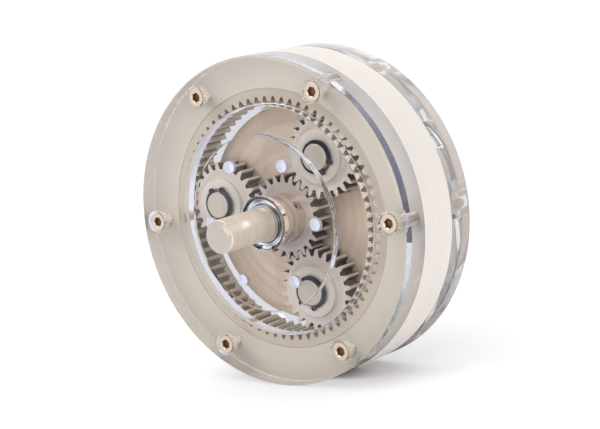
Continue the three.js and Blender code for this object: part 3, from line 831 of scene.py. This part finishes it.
def ball_set():
    """Eleven balls between two pressed ribbons, riveted to each other."""
    bm = bmesh.new()
    for k in range(BALLS):
        centre = at(BALL_CIRCLE, TURN * k / BALLS, BEARING_MIDDLE)
        rows = [[centre + Vector((0, -BALL_R, 0))]]
        for i in range(1, 12):
            t = math.pi * i / 12
            rows.append([centre + Vector((0, -BALL_R * math.cos(t), 0)) + at(BALL_R * math.sin(t), a, 0)
                         for a in even(24)])
        rows.append([centre + Vector((0, BALL_R, 0))])
        add_loft(bm, rows)
    angles = even(BALLS * 20)
    inner, outer = BALL_CIRCLE - 0.5 * MM, BALL_CIRCLE + 0.5 * MM
    gap, thick = 0.04 * MM, 0.22 * MM
    for side in (-1, 1):
        near, far = [], []
        for a in angles:
            step = (a / TURN * BALLS + 0.5) % 1 - 0.5
            s = abs(step) * TURN / BALLS * BALL_CIRCLE
            hug = math.sqrt(max(0, (BALL_R + 0.03 * MM) ** 2 - s * s))
            near.append(max(gap, hug))
            far.append(max(gap, hug) + thick)
        rows = []
        for radius, heights in ((inner, near), (outer, near), (outer, far), (inner, far)):
            rows.append([at(radius, a, BEARING_MIDDLE + side * h) for a, h in zip(angles, heights)])
        add_loft(bm, rows, closed=True, material=1)
        for k in range(BALLS):
            c = at(BALL_CIRCLE, TURN * (k + 0.5) / BALLS, 0)
            foot = BEARING_MIDDLE + side * (gap + thick)
            add_turned(bm, [(0, foot + side * 0.18 * MM), (0.2 * MM, foot + side * 0.15 * MM),
                            (0.33 * MM, foot), (0, foot)], 12, 0, material=1, centre=(c.x, c.z))
    return dress(make("input_balls_and_cage", bm, sharp=40), CHROME_PAINTED_RINGS, CAGE)


outer_race = place(race("input_race_outer", 1), "housing", ["input_bearing_outer"])
twin(outer_race, "output_race_outer", "housing", ["output_bearing_outer"])
inner_race = place(race("input_race_inner", -1), "input", ["input_bearing_inner"])
twin(inner_race, "output_race_inner", "carrier", ["output_bearing_inner"])
ball_cage = place(ball_set(), "input_balls", ["input_bearing_balls"])
twin(ball_cage, "output_balls_and_cage", "output_balls", ["output_bearing_balls"])

snap = dress(split_ring("input_bore_clip", BEARING_R - 0.6 * MM, BEARING_R + 0.6 * MM, CLIP_Y, CLIP_BACK,
                        0.8 * MM, False), SPRING)
place(snap, "housing", ["input_snap_ring"], spin(-math.pi / 2))
twin(snap, "output_bore_clip", "housing", ["output_snap_ring"],
     END_FOR_END @ spin(-math.pi / 2))
shaft_clip = dress(split_ring("input_shaft_clip", SHAFT_R - 0.3 * MM, SHAFT_R + 1.1 * MM,
                              CLIP_Y, CLIP_BACK, 0.9 * MM, True), CAGE)
place(shaft_clip, "input", ["input_circlip"], spin(math.pi))
twin(shaft_clip, "output_shaft_clip", "carrier", ["output_circlip"],
     END_FOR_END @ spin(math.pi))


# ------------------------------------------------------------------ shafts, sun and collar

def shaft(name, profile, keyways):
    """A shaft whose free end has an end-milled keyway, and perhaps others."""
    groove = SHAFT_R - 0.4 * MM
    start = [(0, TIP_Y), (SHAFT_R - 0.25 * MM, TIP_Y), (SHAFT_R, TIP_Y + 0.5 * MM),
             (SHAFT_R, CLIP_Y - FIT), (groove, CLIP_Y - FIT), (groove, CLIP_BACK + FIT),
             (SHAFT_R, CLIP_BACK + FIT), (SHAFT_R, BEARING_BACK + FIT), (SHOULDER_R, BEARING_BACK + FIT)]
    obj = dress(turned(name, start + profile, 128, 0.2 * MM), BRIGHT)
    end = TIP_Y + KEYWAY - KEY / 2
    bm = bmesh.new()
    add_block(bm, KEY_FLOOR, SHAFT_R + MM, TIP_Y - MM, end, KEY, KEY_ANGLE)
    for front, back in keyways:
        add_block(bm, KEY_FLOOR, SHAFT_R + MM, front, back, KEY, KEY_ANGLE)
    obj = cut(obj, tool("slot", bm, MILLED))
    round_end = radial_rod("slot_end", rod(KEY / 2, KEY_FLOOR, SHAFT_R + MM), KEY_ANGLE, end, 48)
    return cut(obj, dress(round_end, MILLED))


def input_shaft():
    step = TEETH_BACK + 2 * FIT
    return shaft("input_shaft_ground", [
        (SHOULDER_R, COLLAR_Y - FIT), (SHAFT_R - FIT, COLLAR_Y - FIT), (SHAFT_R - FIT, step),
        (NOSE_R, step), (NOSE_R, NOSE_Y), (0, NOSE_Y)], [(TEETH_Y + 0.2 * MM, TEETH_BACK - 0.2 * MM)])


def output_shaft():
    """Built at the front too, with its spigot and the pilot bush's seat at the back."""
    seat_floor = -PLATE_BACK + 0.2 * MM
    return shaft("output_shaft_ground", [
        (SHOULDER_R, -PLATE_BACK - FIT), (SPIGOT_R, -PLATE_BACK - FIT), (SPIGOT_R, -PLATE_Y),
        (BUSH_SEAT_R, -PLATE_Y), (BUSH_SEAT_R, seat_floor), (0, seat_floor)], [])


def sun_gear():
    """The sun's teeth, with a keyway through its bore."""
    teeth = gear("sun_gear_teeth", gear_outline(SUN_TEETH, SUN_PHASE), TEETH_Y, TEETH_BACK, SHAFT_R)
    bm = bmesh.new()
    add_block(bm, 5 * MM, KEY_TOP + 0.3 * MM, TEETH_Y - MM, TEETH_BACK + MM, KEY + 0.2 * MM, KEY_ANGLE)
    return cut(dress(teeth, SUN_STEEL), tool("slot", bm, SUN_STEEL), "FAST")


def sun_key():
    low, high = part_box("sun_key")
    bm = bmesh.new()
    add_block(bm, KEY_FLOOR + FIT, KEY_TOP, low.y, high.y, KEY - 2 * FIT, KEY_ANGLE)
    bmesh.ops.bevel(bm, geom=bm.edges[:], offset=0.25 * MM, segments=2, affect="EDGES")
    return dress(make("sun_key_steel", bm), BRIGHT)


def sun_collar():
    """The collar in front of the sun, with a hole through one side for its set screw."""
    bore, hole_r = SHAFT_R + 0.02 * MM, 2.05 * MM
    collar = turned("sun_collar_steel", tube(bore, COLLAR_R, COLLAR_Y, COLLAR_BACK), 128, 0.5 * MM)
    hole = radial_rod("hole", rod(hole_r, SHAFT_R - MM, COLLAR_R + MM), SET_SCREW_ANGLE, SET_SCREW_Y, 40)
    return cut(dress(collar, COLLAR_STEEL), dress(hole, COLLAR_STEEL))


def set_screw():
    """A grub screw with a hexagon socket, about +Y, its socket end outermost."""
    radius, inner, outer = 1.95 * MM, SHAFT_R + 0.1 * MM, COLLAR_R - 0.6 * MM
    socket_r, socket_top, socket_floor = 1.0 * MM, outer - 0.1 * MM, outer - 1.5 * MM
    pitch, thread_depth, blank = 0.7 * MM, 0.25 * MM, 0.3 * MM
    angles = even(36)
    socket = [[Vector((0, socket_floor - 0.3 * MM, 0))], hexagon(socket_r, socket_floor, angles),
              hexagon(socket_r, socket_top, angles)]
    outside = [hexagon(socket_r, socket_top, angles), circle(socket_r + 0.3 * MM, outer, angles),
               circle(radius - 0.35 * MM, outer, angles)]
    y = outer - blank
    while y > inner + blank:
        outside.append(thread(radius, pitch, thread_depth, y, angles))
        y -= pitch / 4
    outside += [circle(1.2 * MM, inner, angles), [Vector((0, inner, 0))]]
    bm = bmesh.new()
    add_loft(bm, socket, material=1)
    add_loft(bm, outside)
    bmesh.ops.remove_doubles(bm, verts=bm.verts, dist=1e-7)
    return dress(make("collar_set_screw", bm), SCREW_METAL, SOCKET_PAINTED_SHADE)


place(input_shaft(), "input", ["input_shaft"])
place(output_shaft(), "carrier", ["output_shaft"], END_FOR_END)
place(sun_gear(), "input", ["sun_gear"])
place(sun_key(), "input", ["sun_key"])
place(sun_collar(), "input", ["sun_collar"])
place(set_screw(), "input", ["collar_screw"], outwards(SET_SCREW_ANGLE, SET_SCREW_Y))


# ------------------------------------------------------------------ planets and carrier

def carrier_plate():
    """The turned plate, with a bore for the output shaft and three for the pins."""
    profile = tube(SPIGOT_R + FIT, PLATE_R, PLATE_Y, PLATE_BACK)
    plate = turned("carrier_plate_turned", profile, 192, 0.5 * MM)
    bm = bmesh.new()
    for pin in PLANETS:
        add_turned(bm, rod(PIN_BORE_R, PLATE_Y - MM, PLATE_BACK + MM), 64, 0, centre=(pin.x, pin.z))
    return cut(dress(plate, PLATE_STEEL), tool("holes", bm, PLATE_STEEL))


def pilot_bush():
    """A flanged bush in the output shaft's seat, round the input shaft's nose."""
    bore, outer, flange = NOSE_R + 2 * FIT, BUSH_SEAT_R - FIT, SPIGOT_R - 2 * FIT
    return dress(turned("pilot_bush_bronze", [
        (bore, BUSH_Y), (flange, BUSH_Y), (flange, WASHER_BACK), (outer, WASHER_BACK),
        (outer, BUSH_BACK), (bore, BUSH_BACK)], 64, 0.15 * MM), BRONZE)


def planet_gear(i):
    outline = gear_outline(PLANET_TEETH, -2 * PLANET_ANGLES[i])
    return dress(gear(f"planet_teeth_{i + 1}", outline, TEETH_Y, TEETH_BACK, PLANET_BUSH_R + FIT,
                      12 * MM, HUB_Y), PLANET_STEEL)


def planet_bush(name):
    profile = tube(PIN_BORE_R, PLANET_BUSH_R, HUB_Y + FIT, TEETH_BACK - FIT)
    return dress(turned(name, profile, 64, 0.15 * MM), BRONZE)


def thrust_washer(name):
    return dress(turned(name, tube(PIN_BORE_R, 9 * MM, WASHER_Y, WASHER_BACK), 64, 0.1 * MM), BRONZE)


def planet_pin(name):
    chamfer, groove = 0.3 * MM, PIN_R - 0.4 * MM
    return dress(turned(name, [
        (0, PIN_Y), (PIN_R - chamfer, PIN_Y), (PIN_R, PIN_Y + chamfer), (PIN_R, PIN_CLIP_Y - FIT),
        (groove, PIN_CLIP_Y - FIT), (groove, PIN_CLIP_BACK + FIT), (PIN_R, PIN_CLIP_BACK + FIT),
        (PIN_R, PLATE_BACK - FIT), (0, PLATE_BACK - FIT)], 96, 0.15 * MM), PIN_STEEL)


def pin_clip(name):
    return dress(split_ring(name, PIN_R - 0.3 * MM, PIN_R + 1.6 * MM, PIN_CLIP_Y, PIN_CLIP_BACK,
                            1.25 * MM, True), SPRING)


first = {}


def repeat(key, i, build, body, node, matrix):
    """The first planet's piece, or a copy of its mesh for the others."""
    if key in first:
        return twin(first[key], f"{key}_{i + 1}", body, [node], matrix)
    first[key] = build(f"{key}_1")
    return place(first[key], body, [node], matrix)


place(carrier_plate(), "carrier", ["carrier_plate"])
place(pilot_bush(), "carrier", ["pilot_bush"])

CLIP_GAPS = [math.radians(a) for a in (-45, 95, -115)]
for i, (centre, gap) in enumerate(zip(PLANETS, CLIP_GAPS)):
    n = i + 1
    here = Matrix.Translation(centre)
    place(planet_gear(i), f"planet_{n}", [f"planet_gear_{n}"], here)
    repeat("planet_bush_bronze", i, planet_bush, f"planet_{n}", f"planet_bush_{n}", here)
    repeat("washer_bronze", i, thrust_washer, "carrier", f"thrust_washer_{n}", here)
    repeat("pin_ground", i, planet_pin, "carrier", f"planet_pin_{n}", here)
    repeat("pin_clip", i, pin_clip, "carrier", f"pin_circlip_{n}", here @ spin(gap))


# ------------------------------------------------------------------ studio

def floor():
    """A plain pale floor, with painted reflections: greyer where it shows through the acrylic and dark
    in sharp reflections.
    """
    bm = bmesh.new()
    bmesh.ops.create_grid(bm, x_segments=1, y_segments=1, size=20)
    sheet = make("floor", bm, weighted=False)
    sheet.location.z = -HOUSING_R - 0.2 * MM
    white = Finish("floor", Roughness=0.6, Specular_IOR_Level=0.1)
    paper_and_painted_reflections = white.mix(white.noise(white.coordinates.outputs["Object"], 3.0),
                      (0.95, 0.95, 0.95), (0.93, 0.93, 0.93))
    # painted reflections: greyer tones for rays through the acrylic, navy for sharp reflections
    painted_through_grey, painted_reflection_navy = (0.62, 0.64, 0.71), (0.10, 0.11, 0.15)
    path = white.node("ShaderNodeLightPath").outputs
    straight = white.math("LESS_THAN", path["Diffuse Depth"], 0.5)
    through = path["Is Transmission Ray"]
    mirrored = white.math("MULTIPLY", path["Is Singular Ray"], white.math("SUBTRACT", 1, through))
    paper_and_painted_reflections = white.mix(white.math("MULTIPLY", through, straight), paper_and_painted_reflections, painted_through_grey)
    paper_and_painted_reflections = white.mix(white.math("MULTIPLY", mirrored, straight), paper_and_painted_reflections, painted_reflection_navy)
    white.set("Base Color", paper_and_painted_reflections)
    sheet.data.materials.append(white.material)


def sky():
    """Soft light from all round, dimmer and a little bluer from below, and a white backdrop."""
    world = bpy.data.worlds.new("studio")
    scene.world = world
    world.use_nodes = True
    nodes, links = world.node_tree.nodes, world.node_tree.links
    height = nodes.new("ShaderNodeSeparateXYZ")
    links.new(nodes.new("ShaderNodeTexCoord").outputs["Generated"], height.inputs[0])
    ramp = nodes.new("ShaderNodeValToRGB")
    links.new(height.outputs[2], ramp.inputs[0])
    ramp.color_ramp.elements[0].color = (0.60, 0.62, 0.70, 1)
    ramp.color_ramp.elements[1].color = (1, 1, 1, 1)
    ramp.color_ramp.elements[1].position = 0.7
    backdrop = nodes.new("ShaderNodeMix")
    backdrop.data_type = "RGBA"
    links.new(nodes.new("ShaderNodeLightPath").outputs["Is Camera Ray"], backdrop.inputs[0])
    links.new(ramp.outputs[0], backdrop.inputs[6])
    backdrop.inputs[7].default_value = (1, 1, 1, 1)
    background = nodes["Background"]
    links.new(backdrop.outputs[2], background.inputs["Color"])
    background.inputs["Strength"].default_value = 1.25


def softbox(name, size, power, spot):
    """A square lamp aimed at the object, which doesn't show through the acrylic."""
    lamp = bpy.data.lights.new(name, "AREA")
    lamp.size = size
    lamp.energy = power
    obj = bpy.data.objects.new(name, lamp)
    scene.collection.objects.link(obj)
    obj.visible_transmission = False
    obj.location = spot
    obj.rotation_euler = (-Vector(spot)).to_track_quat("-Z", "Y").to_euler()


def flag(width, height, distance, aside):
    """A dark card in front, on the left and out of the picture, that only shows through the acrylic."""
    towards = Vector((-0.62, -0.77, -0.05)).normalized()
    right = towards.cross(Vector((0, 0, 1))).normalized()
    up = right.cross(towards)
    bm = bmesh.new()
    bmesh.ops.create_grid(bm, x_segments=1, y_segments=1, size=0.5)
    card = make("flag", bm, weighted=False)
    turn = Matrix((right * width, up * height, towards)).transposed().to_4x4()
    card.matrix_world = Matrix.Translation(towards * distance + right * aside) @ turn
    navy = Finish("flag cloth", Roughness=0.9, Specular_IOR_Level=0.0)
    navy.set("Base Color", navy.mix(navy.noise(navy.coordinates.outputs["Object"], 9.0),
                                    srgb(2, 16, 50), srgb(5, 22, 60)))
    card.data.materials.append(navy.material)
    card.visible_camera = card.visible_diffuse = card.visible_glossy = card.visible_shadow = False


def camera():
    """A long lens a little above the axis and to the right of the input shaft, rolled slightly."""
    azimuth, elevation, roll = (math.radians(a) for a in (38.80, 8.48, -6.51))
    distance = 773.44 * MM
    back = Vector((math.sin(azimuth) * math.cos(elevation), -math.cos(azimuth) * math.cos(elevation),
                   math.sin(elevation)))
    right = (-back).cross(Vector((0, 0, 1))).normalized()
    up = right.cross(-back)
    right, up = (math.cos(roll) * right + math.sin(roll) * up,
                 math.cos(roll) * up - math.sin(roll) * right)
    target = Vector((11.92, -16.02, 2.03)) * MM
    data = bpy.data.cameras.new("camera")
    data.lens = 103.9
    data.sensor_width = 36
    data.clip_start, data.clip_end = 0.01, 100
    obj = bpy.data.objects.new("camera", data)
    scene.collection.objects.link(obj)
    turn = Matrix((right, up, back)).transposed().to_4x4()
    obj.matrix_world = Matrix.Translation(target + back * distance) @ turn
    scene.camera = obj


floor()
sky()
softbox("key", 0.9, 8, (-0.7, -1.2, 1.0))
softbox("fill", 1.2, 15, (0.6, -1.6, -0.04))
flag(width=0.16, height=0.3, distance=0.25, aside=-0.09)
camera()
scene.view_settings.view_transform = "Standard"
scene.cycles.max_bounces = 24
scene.cycles.transmission_bounces = 16
scene.cycles.glossy_bounces = 8
scene.cycles.diffuse_bounces = 4
scene.cycles.transparent_max_bounces = 16
scene.cycles.caustics_refractive = True
scene.cycles.sample_clamp_indirect = 4
scene.cycles.caustics_reflective = False
scene.cycles.use_denoising = True

bpy.context.view_layer.update()
